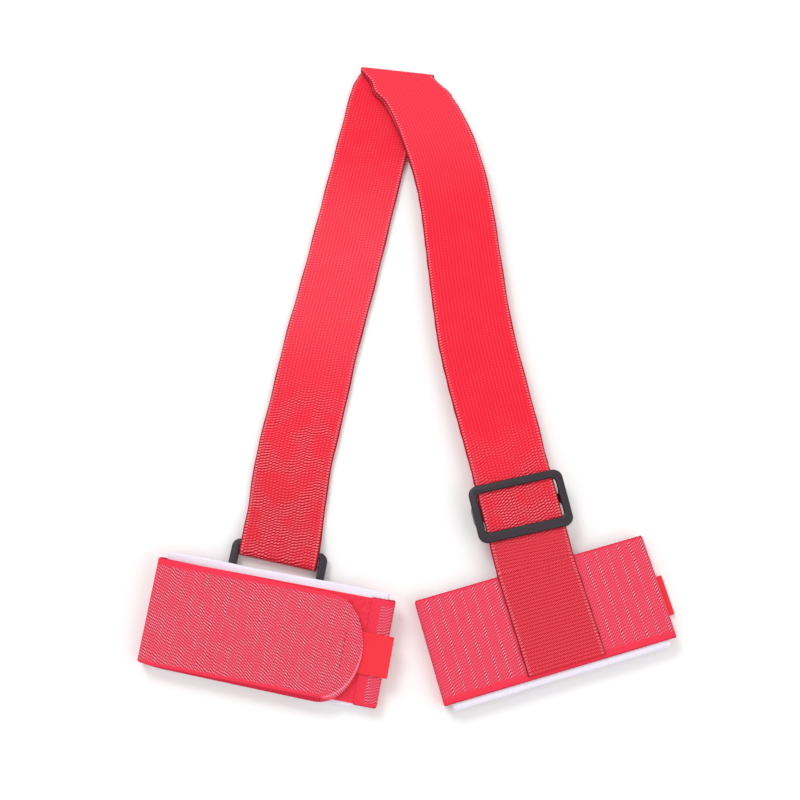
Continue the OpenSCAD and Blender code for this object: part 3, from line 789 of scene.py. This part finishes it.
def foldStations(ply, tag):
    made = []
    left = leftLeg["cut"]
    count = 14
    flatAngle = math.atan2((leftFrame.to_3x3() @ Vector((1, 0, 0))).y, (leftFrame.to_3x3() @ Vector((1, 0, 0))).x)
    for k in range(count):  # up the left leg, turning gently into the crease
        share = k / count
        y = left * (1 - share)
        angle = flatAngle + (creaseTurn - flatAngle) * share ** 2
        half = 19 / math.cos(abs(angle - flatAngle)) + shape["corner"] / 2 * share ** 2
        drawn = 1 - share ** 2.5
        middle = leftFrame @ Vector((leftSway(y) * drawn - shape["corner"] / 2 * (1 - drawn), y, ply["leftMid"]))
        middle.z = (ply["leftMid"] + (3.05 - ply["foldMid"] - ply["leftMid"]) * share) * 0.001
        across = Vector((math.cos(angle), math.sin(angle), 0)) * half * 0.001
        made.append((middle, across, Vector((0, 0, -1)), -left * (share - 1)))
    turn = 16
    for k in range(turn + 1):  # round the crease
        angle = math.radians(-90 + 180 * k / turn)
        outward = creaseFrame.to_3x3() @ Vector((0, math.cos(angle), math.sin(angle)))
        middle = jointAt("shoulder_fold") + outward * ply["foldMid"] - creaseAxis * shape["corner"] * 0.0005
        across = creaseAxis * 0.001 * (19.09 + shape["corner"] / 2)
        made.append((middle, across, outward.normalized(), ply["foldMid"] * (angle + math.pi / 2)))
    return made


rightStart = {"outer": 24.0, "inner": 24.0}
for name, ply, edges, lift, node in (
    ("foldOuter", outerPly, outerEdges, outerLift, "webbing_outer_fold"),
    ("foldInner", innerPly, innerEdges, None, "webbing_inner_fold"),
):
    stations = foldStations(ply, name)
    bend = stations[-1][3]
    onward, rest = rightStations(ply["rightMid"], 1.2, rightStart["outer"], 1.2, edges, lift)
    stations += [(m, a, u, v + bend) for m, a, u, v in onward]
    piece = clothStrip(name, stations, 19.0, 1.2, columns=44, scallop=0.12)
    faceOut(piece)
    piece.data.materials.append(rightWebbing)
    low, high = Vector(stations[13][0]), Vector(stations[31][0])
    low.z, high.z = (0.0012, 0.0049) if name == "foldOuter" else (0.00265, 0.00345)
    high.x, high.y = low.x, low.y
    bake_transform(piece)
    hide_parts(node)

# the outer ply from the fold to the right cuff's joint
onward, rest = rightStations(outerPly["rightMid"], rightStart["outer"], legLength - 3.0, 1.6, outerEdges, outerLift)
bend = outerPly["foldMid"] * math.pi
webbingRight = clothStrip("webbingRight", [(m, a, u, v + bend) for m, a, u, v in onward], 19.0, 1.2, columns=44,
                          scallop=0.12)
faceOut(webbingRight)
webbingRight.data.materials.append(rightWebbing)
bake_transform(webbingRight)
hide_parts("webbing_outer_right", "webbing_lower")

# the inner ply, from the fold to the end loop on the slider
onward, rest = rightStations(innerPly["rightMid"], rightStart["inner"], legLength - 51.5, 2.0, innerEdges)
webbingInner = clothStrip("webbingInner", onward, 19.0, 1.2, columns=36, scallop=0.1)
faceOut(webbingInner)
webbingInner.data.materials.append(rightWebbing)
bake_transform(webbingInner)
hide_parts("webbing_inner_right", "webbing_inner_slack")
print("right leg made")

# ---- the end loop sewn round the slider's centre bar ----
endLoop = {"sliderY": 29.25, "topY": 51.25, "ply": 4.05, "turnR": 1.7, "turnY": -1.5, "under": 0.65}
loopLine = smoothLine([(endLoop["topY"], endLoop["ply"]), (endLoop["sliderY"] + endLoop["turnY"], endLoop["ply"])], 1.2, 0)
loopLine += [Vector(p) for p in arc((endLoop["sliderY"] + endLoop["turnY"], endLoop["ply"] - endLoop["turnR"]),
                                    endLoop["turnR"], 90, 270, 12)[1:]]
loopLine += smoothLine([(endLoop["sliderY"] + endLoop["turnY"], endLoop["under"]), (endLoop["sliderY"] + 3.0, endLoop["under"]),
                        (endLoop["sliderY"] + 9.0, 2.85), (endLoop["sliderY"] + 18.0, 2.85)], 1.2, 2)[1:]
webbingLoop = clothStrip("webbingEndLoop", profileStations(straightFrame, loopLine, 19.0, "Y", vStart=10), 19.0, 1.16,
                         columns=36, scallop=0.1)
faceOut(webbingLoop)
webbingLoop.data.materials.append(rightWebbing)
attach(webbingLoop, "slider")
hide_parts("webbing_end_loop")

# ---- the webbing sewn along the right cuff's back ----
sewnEnd = {"x": 3.0, "long": 48.0, "start": -25.0, "mid": -0.6, "lead": 3.4}
rightCuff = cuffFrames["right"]
sewnStations = []
leadIn, rest = rightStations(outerPly["rightMid"], legLength - 3.0, legLength - 0.6, 0.8, outerEdges, outerLift)
sewnStations += [(m, a, u, v + bend) for m, a, u, v in leadIn]
vNow = sewnStations[-1][3] + 1.2
for k in range(33):
    y = sewnEnd["start"] + sewnEnd["long"] * k / 32
    sewnStations.append((rightCuff @ Vector((sewnEnd["x"], y, sewnEnd["mid"])),
                         rightCuff.to_3x3() @ Vector((19, 0, 0)),
                         (rightCuff.to_3x3() @ Vector((0, 0, -1))).normalized(), vNow + sewnEnd["long"] * k / 32))
webbingSewn = clothStrip("webbingSewnEnd", sewnStations, 19.0, 1.2, columns=56, scallop=0.14)
faceOut(webbingSewn)
webbingSewn.data.materials.append(rightWebbing)
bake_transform(webbingSewn)
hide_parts("webbing_sewn_end")
print("sewn end made")


# ---- cuffs ----
cuffTape = {"half": 25.0, "thick": 1.2, "leftX": -56.4, "rightX": 56.4, "bottom": 0.6, "hemZ": 6.3, "hemEnd": 46.0,
            "wallTop": 3.4, "flapZ": 8.4, "axisX": -55.5, "axisZ": 7.5, "tipX": 45.9, "tipLong": 18.0, "drift": 0.02}
foamPad = {"x0": -53.4, "x1": 53.6, "y0": -25.25, "y1": 28.25, "z0": 1.25, "z1": 5.65}
lining = {"x0": -53.35, "x1": 45.95, "half": 24.5, "z0": 5.7, "z1": 6.5}
hookPatch = {"x0": -52.0, "x1": 33.5, "half": 22.2, "base": 7.35, "top": 7.78, "pitch": 1.7, "tall": 0.5}
pullTab = {"x0": 35.2, "leftEnd": 59.3, "rightEnd": 61.0, "half": 9.6, "low": 7.33, "high": 7.66, "thick": 0.28,
           "left": -1.0, "right": 5.0}
stitchLook = {"long": 2.1, "thick": 0.42, "pitch": 3.1}


def backTape(side):
    look = cuffTape
    matrix = cuffFrames[side]
    points = [(look["leftX"], look["wallTop"]), (look["leftX"], look["bottom"]), (look["rightX"], look["bottom"]),
              (look["rightX"], look["hemZ"]), (look["hemEnd"], look["hemZ"])]
    line = smoothLine(points, 0.8, 2)
    item = clothStrip(side + "BackTape", profileStations(matrix, line, look["half"], "X", vStart=-57), look["half"],
                      look["thick"], columns=36, rim=0.4, scallop=0.07, pitch=1.3)
    faceOut(item)
    item.data.materials.append(tapeLeft if side == "left" else tapeRight)
    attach(item, side + "_cuff")
    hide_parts(side + "_back_tape")
    return item


def flapTape(side):
    look = cuffTape
    matrix = cuffFrames[side]
    radius = 0.9
    points = smoothLine([(look["leftX"], look["wallTop"] + 0.06), (look["leftX"], look["axisZ"])], 0.6, 0)
    points += [Vector(p) for p in arc((look["axisX"], look["axisZ"]), radius, 180, 90, 8)[1:]]
    flatFrom = len(points)
    fine = []
    x = look["axisX"]
    while x < look["tipX"] - 0.02:
        fine.append(x)
        gap = look["tipX"] - x
        x += 1.2 if gap > look["tipLong"] else max(0.03, 0.09 * gap)
    fine.append(look["tipX"] - 0.02)
    points += [Vector((x, look["flapZ"])) for x in fine[1:]]
    stations = profileStations(matrix, points, look["half"], "X", vStart=-62)
    shaped = []
    for spot, (middle, across, up, v) in zip(points, stations):
        drift = -look["drift"] * max(0, spot.x + 57) if side == "left" else 0.0
        wide = 1.0
        over = spot.x - (look["tipX"] - look["tipLong"])
        if over > 0:
            wide = math.sqrt(max(0.0, 1 - (over / look["tipLong"]) ** 2))
        low, high = -wide, wide
        if side == "left" and spot.x < -43:  # one corner of the flap is a little rounded
            low = -1 + 0.05 * ((-43 - spot.x) / 14) ** 2
        shaped.append((middle, across, up, v, low, high, drift))
    spans = {round(item[3], 5): (item[4] + item[6] / look["half"], item[5] + item[6] / look["half"]) for item in shaped}
    item = clothStrip(side + "FlapTape", [s[:4] for s in shaped], look["half"], look["thick"] - 0.04, columns=48,
                      rim=0.45, scallop=0.0, outline=lambda v: spans[round(v, 5)])
    faceOut(item)
    item.data.materials.append(flapMaterial[side])
    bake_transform(item)
    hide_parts(side + "_flap_tape")
    return item


def foamBlock(side):
    look = foamPad
    deselect()
    bpy.ops.mesh.primitive_cube_add(size=1, location=((look["x0"] + look["x1"]) / 2, (look["y0"] + look["y1"]) / 2,
                                                      (look["z0"] + look["z1"]) / 2))
    item = bpy.context.object
    item.name = side + "FoamPad"
    item.scale = (look["x1"] - look["x0"], look["y1"] - look["y0"], look["z1"] - look["z0"])
    bpy.ops.object.transform_apply(location=True, rotation=False, scale=True)
    rounding = item.modifiers.new("rounding", "BEVEL")
    rounding.width = 1.1
    rounding.segments = 4
    applyModifiers(item)
    bpy.ops.object.mode_set(mode="EDIT")
    bpy.ops.mesh.select_all(action="SELECT")
    bpy.ops.mesh.subdivide(number_cuts=24)
    bpy.ops.object.mode_set(mode="OBJECT")
    for vert in item.data.vertices:  # cut foam is never quite even
        spot = vert.co
        wave = noise.noise(Vector((spot.x * 0.06, spot.y * 0.06, spot.z * 0.2 + (3 if side == "left" else 9))))
        edge = 1 if spot.y > 20 or spot.y < -20 else 0
        vert.co.y += wave * 0.55 * edge
        if side == "left" and spot.y < -20:  # it peeps out beside the flap's tip
            vert.co.y -= 1.2 * math.exp(-((spot.x - 36) / 14) ** 2)
        vert.co.z += 0.05 * wave
    settle(item, cuffFrames[side], 50)
    item.data.materials.append(foamMaterial)
    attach(item, side + "_cuff")
    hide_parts(side + "_foam_pad")
    return item


def liningSheet(side):
    look = lining
    middle = (look["z0"] + look["z1"]) / 2
    line = smoothLine([(look["x0"], middle), (look["x1"], middle)], 0.8, 0)
    item = clothStrip(side + "LoopLining", profileStations(cuffFrames[side], line, look["half"], "X"), look["half"],
                      0.7, columns=60, rim=0.3)
    normal = (cuffFrames[side].to_3x3() @ Vector((0, 0, 1))).normalized()
    for vert in item.data.vertices:  # a napped face
        vert.co += normal * 0.00008 * noise.noise(vert.co * 900)
    faceOut(item)
    item.data.materials.append(liningMaterial)
    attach(item, side + "_cuff")
    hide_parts(side + "_loop_lining")
    return item


def hookSheet(side):
    look = hookPatch
    matrix = cuffFrames[side]
    mesh = bpy.data.meshes.new(side + "HookPatch")
    build = bmesh.new()

    def block(x0, x1, y0, y1, z0, z1):
        corners = [build.verts.new((x, y, z)) for z in (z0, z1) for x, y in ((x0, y0), (x1, y0), (x1, y1), (x0, y1))]
        for a, b, c, d in ((3, 2, 1, 0), (4, 5, 6, 7), (0, 1, 5, 4), (1, 2, 6, 5), (2, 3, 7, 6), (3, 0, 4, 7)):
            build.faces.new([corners[n] for n in (a, b, c, d)])

    block(look["x0"], look["x1"], -look["half"] - 0.7, look["half"] - 0.7, look["base"], look["top"])
    shaft = [(0, 0), (0, -0.24), (0.06, -0.40), (0.24, -0.48), (0.34, -0.38)]  # one hook, hanging from the patch
    columns = int((look["x1"] - look["x0"] - 3) / look["pitch"])
    rows = int((2 * look["half"] - 3) / look["pitch"])
    for i in range(columns):
        for k in range(rows):
            x = look["x0"] + 1.5 + look["pitch"] * i
            y = -look["half"] - 0.7 + 1.5 + look["pitch"] * (k + 0.5 * (i % 2))
            way = 1 if k % 2 else -1
            rings = []
            for n, (dx, dz) in enumerate(shaft):
                wide = 0.11 if n < 3 else 0.08
                rings.append([build.verts.new((x + way * dx + a, y + b, look["base"] + dz))
                              for a, b in ((-wide, -wide), (wide, -wide), (wide, wide), (-wide, wide))])
            for low, high in zip(rings, rings[1:]):
                for n in range(4):
                    build.faces.new([low[n], high[n], high[(n + 1) % 4], low[(n + 1) % 4]])
            build.faces.new(rings[-1])
            build.faces.new(rings[0][::-1])
    build.normal_update()
    build.to_mesh(mesh)
    build.free()
    item = collect(side + "HookPatch", mesh)
    faceOut(item)
    settle(item, matrix, 30)
    item.data.materials.append(hookMaterial)
    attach(item, side + "_flap")
    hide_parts(side + "_hook_patch")
    return item


def ribbonTab(side):
    look = pullTab
    low, high = look["low"], look["high"]
    radius = (high - low) / 2
    turn = look[side + "End"] - radius
    line = smoothLine([(look["x0"], low), (turn, low)], 0.8, 0)
    line += [Vector(p) for p in arc((turn, low + radius), radius, -90, 90, 6)[1:]]
    line += smoothLine([(turn, high), (look["x0"] + 8, high)], 0.8, 0)[1:]
    item = clothStrip(side + "PullTab", profileStations(cuffFrames[side], line, look["half"], "X", shiftX=look[side]),
                      look["half"], look["thick"], columns=20, rim=0.2, scallop=0.05, pitch=0.9)
    faceOut(item)
    item.data.materials.append(ribbonMaterial)
    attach(item, side + "_flap")
    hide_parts(side + "_pull_tab")
    return item


def stitchRows(name, matrix, rows, body, nodes, up=1, thread=None):
    # rows are (first point, last point) in the frame's own millimetres; one stitch is made, then copied
    look = stitchLook
    deselect()
    bpy.ops.mesh.primitive_uv_sphere_add(segments=8, ring_count=6, radius=1, location=(0, 0, 0))
    single = bpy.context.object
    bpy.ops.object.mode_set(mode="EDIT")
    bpy.ops.mesh.select_all(action="SELECT")
    bpy.ops.transform.resize(value=(look["long"] / 2, look["thick"] / 2, look["thick"] / 2))
    bpy.ops.object.mode_set(mode="OBJECT")
    for vert in single.data.vertices:  # both ends dive into the cloth
        vert.co.z -= 0.16 * (abs(vert.co.x) / (look["long"] / 2)) ** 3
    parts = []
    for first, last in rows:
        a, b = Vector(first), Vector(last)
        count = max(1, int((b - a).length / look["pitch"]) + 1)
        run = (b - a).normalized()
        turn = Matrix.Rotation(math.atan2(run.y, run.x), 4, "Z")
        flip = Matrix.Rotation(math.pi, 4, "X") if up < 0 else Matrix.Identity(4)
        for k in range(count):
            wander = 0.07 * noise.noise(Vector((k * 1.7, a.x, a.y)))
            spot = a + run * ((b - a).length * (k + 0.5) / count) + Vector((-run.y, run.x, 0)) * wander
            copy = single.copy()
            copy.data = single.data.copy()
            bpy.context.scene.collection.objects.link(copy)
            copy.data.transform(Matrix.Translation(spot) @ turn @ flip)
            parts.append(copy)
    bpy.data.objects.remove(single)
    deselect()
    for part in parts:
        part.select_set(True)
    bpy.context.view_layer.objects.active = parts[0]
    bpy.ops.object.join()
    item = bpy.context.object
    item.name = name
    settle(item, matrix, 60)
    item.data.materials.append(thread or redThread)
    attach(item, body)
    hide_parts(*nodes)
    return item


for side in ("left", "right"):
    tape = backTape(side)
    flap = flapTape(side)
    pad = foamBlock(side)
    pile = liningSheet(side)
    hooks = hookSheet(side)
    tab = ribbonTab(side)
    tabY = pullTab[side]
    stitchRows(side + "HemStitching", cuffFrames[side], [((47, -23.5, 6.92), (47, 23.5, 6.92))], side + "_cuff",
               [side + "_hem_stitching"])
    stitchRows(side + "TabStitching", cuffFrames[side],
               [((36.9, tabY - 9.0, 8.97), (36.9, tabY + 9.0, 8.97))], side + "_flap", [side + "_tab_stitching"],
               thread=darkThread)
print("cuffs made")

# ---- keeper tab, sewn under the left cuff, that holds the ring's lower bar ----
keeper = {"x": -2.5, "half": 16.0, "barY": 18.0, "barZ": -2.75, "turnR": 2.25, "thick": 0.95}
keeperLine = smoothLine([(-4.0, -0.5), (keeper["barY"], -0.5)], 0.9, 0)
keeperLine += [Vector(p) for p in arc((keeper["barY"], keeper["barZ"]), keeper["turnR"], 90, -90, 12)[1:]]
keeperLine += smoothLine([(keeper["barY"], -5.0), (keeper["barY"] - 2, -5.0), (9.0, -1.5), (-1.0, -1.5)], 0.9, 3)[1:]
keeperTab = clothStrip("keeperTab", profileStations(cuffFrames["left"], keeperLine, keeper["half"], "Y", shiftX=keeper["x"]),
                       keeper["half"], keeper["thick"], columns=28, scallop=0.08, pitch=1.1)
faceOut(keeperTab)
keeperTab.data.materials.append(keeperMaterial)
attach(keeperTab, "left_cuff")
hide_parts("keeper_tab")
stitchRows("keeperStitching", cuffFrames["left"],
           [((keeper["x"] - 14, 7, -2.0), (keeper["x"] + 14, 7, -2.0)), ((keeper["x"] - 14, 1, -2.0), (keeper["x"] + 14, 1, -2.0))],
           "left_cuff", ["keeper_stitching"], up=-1)
stitchRows("endLoopStitching", straightFrame,
           [((-17, endLoop["sliderY"] + 11.5, 2.25), (17, endLoop["sliderY"] + 11.5, 2.25)),
            ((-17, endLoop["sliderY"] + 15.5, 2.25), (17, endLoop["sliderY"] + 15.5, 2.25))],
           "slider", ["end_loop_stitching"], up=-1)
stitchRows("sewnEndStitching", rightCuff,
           [((sewnEnd["x"] - 17, -22.5, -1.2), (sewnEnd["x"] + 17, -22.5, -1.2)),
            ((sewnEnd["x"] - 17, 20.5, -1.2), (sewnEnd["x"] + 17, 20.5, -1.2))],
           "right_cuff", ["sewn_end_stitching"], up=-1)
print("stitching made")


# ---- slider and ring: moulded frames ----
def roundedPlate(name, size, centre, corner, segments=10):
    deselect()
    bpy.ops.mesh.primitive_cube_add(size=1, location=centre)
    item = bpy.context.object
    item.name = name
    item.scale = size
    bpy.ops.object.transform_apply(location=True, rotation=False, scale=True)
    bpy.ops.object.mode_set(mode="EDIT")
    bpy.ops.mesh.select_mode(type="EDGE")
    bpy.ops.mesh.select_all(action="DESELECT")
    bpy.ops.object.mode_set(mode="OBJECT")
    for edge in item.data.edges:  # the four upright edges
        a, b = (item.data.vertices[n].co for n in edge.vertices)
        edge.select = abs(a.z - b.z) > 0.5 * size[2]
    bpy.ops.object.mode_set(mode="EDIT")
    bpy.ops.mesh.bevel(offset=corner, segments=segments, affect="EDGES")
    bpy.ops.object.mode_set(mode="OBJECT")
    return item


def cutOut(item, cutter):
    cutting = item.modifiers.new("window", "BOOLEAN")
    cutting.object = cutter
    cutting.solver = "EXACT"
    applyModifiers(item)
    bpy.data.objects.remove(cutter)


def softenEdges(item, width, segments=3):
    soft = item.modifiers.new("soft", "BEVEL")
    soft.width = width
    soft.segments = segments
    soft.limit_method = "ANGLE"
    soft.angle_limit = math.radians(40)
    applyModifiers(item)


slider = {"y": 29.25, "wide": 46.8, "tall": 28.3, "shift": -0.6, "thick": 2.2, "low": 6.3, "corner": 4.5, "windowWide": 39.2,
          "windowTall": 19.5, "windowCorner": 2.2, "soft": 0.75, "barLow": 1.35, "barTall": 2.0, "barWide": 5.0}
plate = roundedPlate("sliderFrame", (slider["wide"], slider["tall"], slider["thick"]),
                     (0, slider["y"] + slider["shift"], slider["low"] + slider["thick"] / 2), slider["corner"])
window = roundedPlate("sliderWindow", (slider["windowWide"], slider["windowTall"], 8),
                      (0, slider["y"] + slider["shift"] / 4, slider["low"]), slider["windowCorner"], 8)
cutOut(plate, window)
softenEdges(plate, slider["soft"])
extras = []
for way in (-1, 1):  # the lugs that carry the hidden centre bar
    lug = roundedPlate("lug", (2.9, slider["barWide"] + 4, slider["low"] - slider["barLow"] + 0.8),
                       (way * 21.9, slider["y"], (slider["low"] + slider["barLow"] + 0.8) / 2), 1.2, 4)
    softenEdges(lug, 0.3, 2)
    extras.append(lug)
bar = roundedPlate("centreBar", (slider["windowWide"] + 3.8, slider["barWide"], slider["barTall"]),
                   (0, slider["y"], slider["barLow"] + slider["barTall"] / 2), 0.5, 2)
softenEdges(bar, 0.85, 4)
extras.append(bar)
deselect()
for part in [plate] + extras:
    part.select_set(True)
bpy.context.view_layer.objects.active = plate
bpy.ops.object.join()
settle(plate, straightFrame, 40)
plate.data.materials.append(plasticMaterial)
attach(plate, "slider")
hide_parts("slider_frame")

ring = {"pitch": 21.0, "wide": 46.8, "bar": 3.0, "windowWide": 39.2, "corner": 4.0, "soft": 0.85}
ringPlate = roundedPlate("ringFrame", (ring["wide"], ring["pitch"] + ring["bar"], ring["bar"]),
                         (0, -ring["pitch"] / 2, 0), ring["corner"])
window = roundedPlate("ringWindow", (ring["windowWide"], ring["pitch"] - ring["bar"], 8), (0, -ring["pitch"] / 2, 0), 0.4, 3)
cutOut(ringPlate, window)
softenEdges(ringPlate, ring["soft"], 4)
settle(ringPlate, ringFrame, 40)
ringPlate.data.materials.append(plasticMaterial)
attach(ringPlate, "ring")
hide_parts("ring")
print("slider and ring made")

# ---- floor, light and camera ----
studio = {"floorSize": 6.0, "target": (-3.7, -18.0, 0.0), "from": (-3.7, -166.6, 540.9), "lens": 50.0}
deselect()
bpy.ops.mesh.primitive_plane_add(size=studio["floorSize"], location=(0, 0, -0.0003))
floor = bpy.context.object
floor.name = "floor"
floorMaterial, tree, shader = newMaterial("paleFloor", 0.9, 0.0, 0.5, 0.05)
shader.inputs["Base Color"].default_value = (0.97, 0.97, 0.97, 1)
floor.data.materials.append(floorMaterial)

world = bpy.data.worlds.new("studioWorld")
bpy.context.scene.world = world
world.use_nodes = True
world.node_tree.nodes["Background"].inputs[0].default_value = (1, 1, 1, 1)
world.node_tree.nodes["Background"].inputs[1].default_value = 0.76


def softLight(name, place, size, power, target=(0, 0, 0)):
    light = bpy.data.lights.new(name, "AREA")
    light.shape = "DISK"
    light.size = size
    light.energy = power
    item = bpy.data.objects.new(name, light)
    bpy.context.scene.collection.objects.link(item)
    item.location = place
    item.rotation_euler = (Vector(target) - Vector(place)).to_track_quat("-Z", "Y").to_euler()
    return item


softLight("keyLight", (-0.55, 0.75, 1.15), 0.6, 7.5)
softLight("fillLight", (0.9, -0.5, 1.1), 1.0, 4.0)

camera = bpy.data.cameras.new("camera")
camera.lens = studio["lens"]
camera.sensor_width = 36
camera.clip_start = 0.01
viewer = bpy.data.objects.new("camera", camera)
bpy.context.scene.collection.objects.link(viewer)
viewer.location = Vector(studio["from"]) * 0.001
viewer.rotation_euler = (Vector(studio["target"]) - Vector(studio["from"])).to_track_quat("-Z", "Y").to_euler()
bpy.context.scene.camera = viewer
bpy.context.scene.view_settings.view_transform = "Standard"
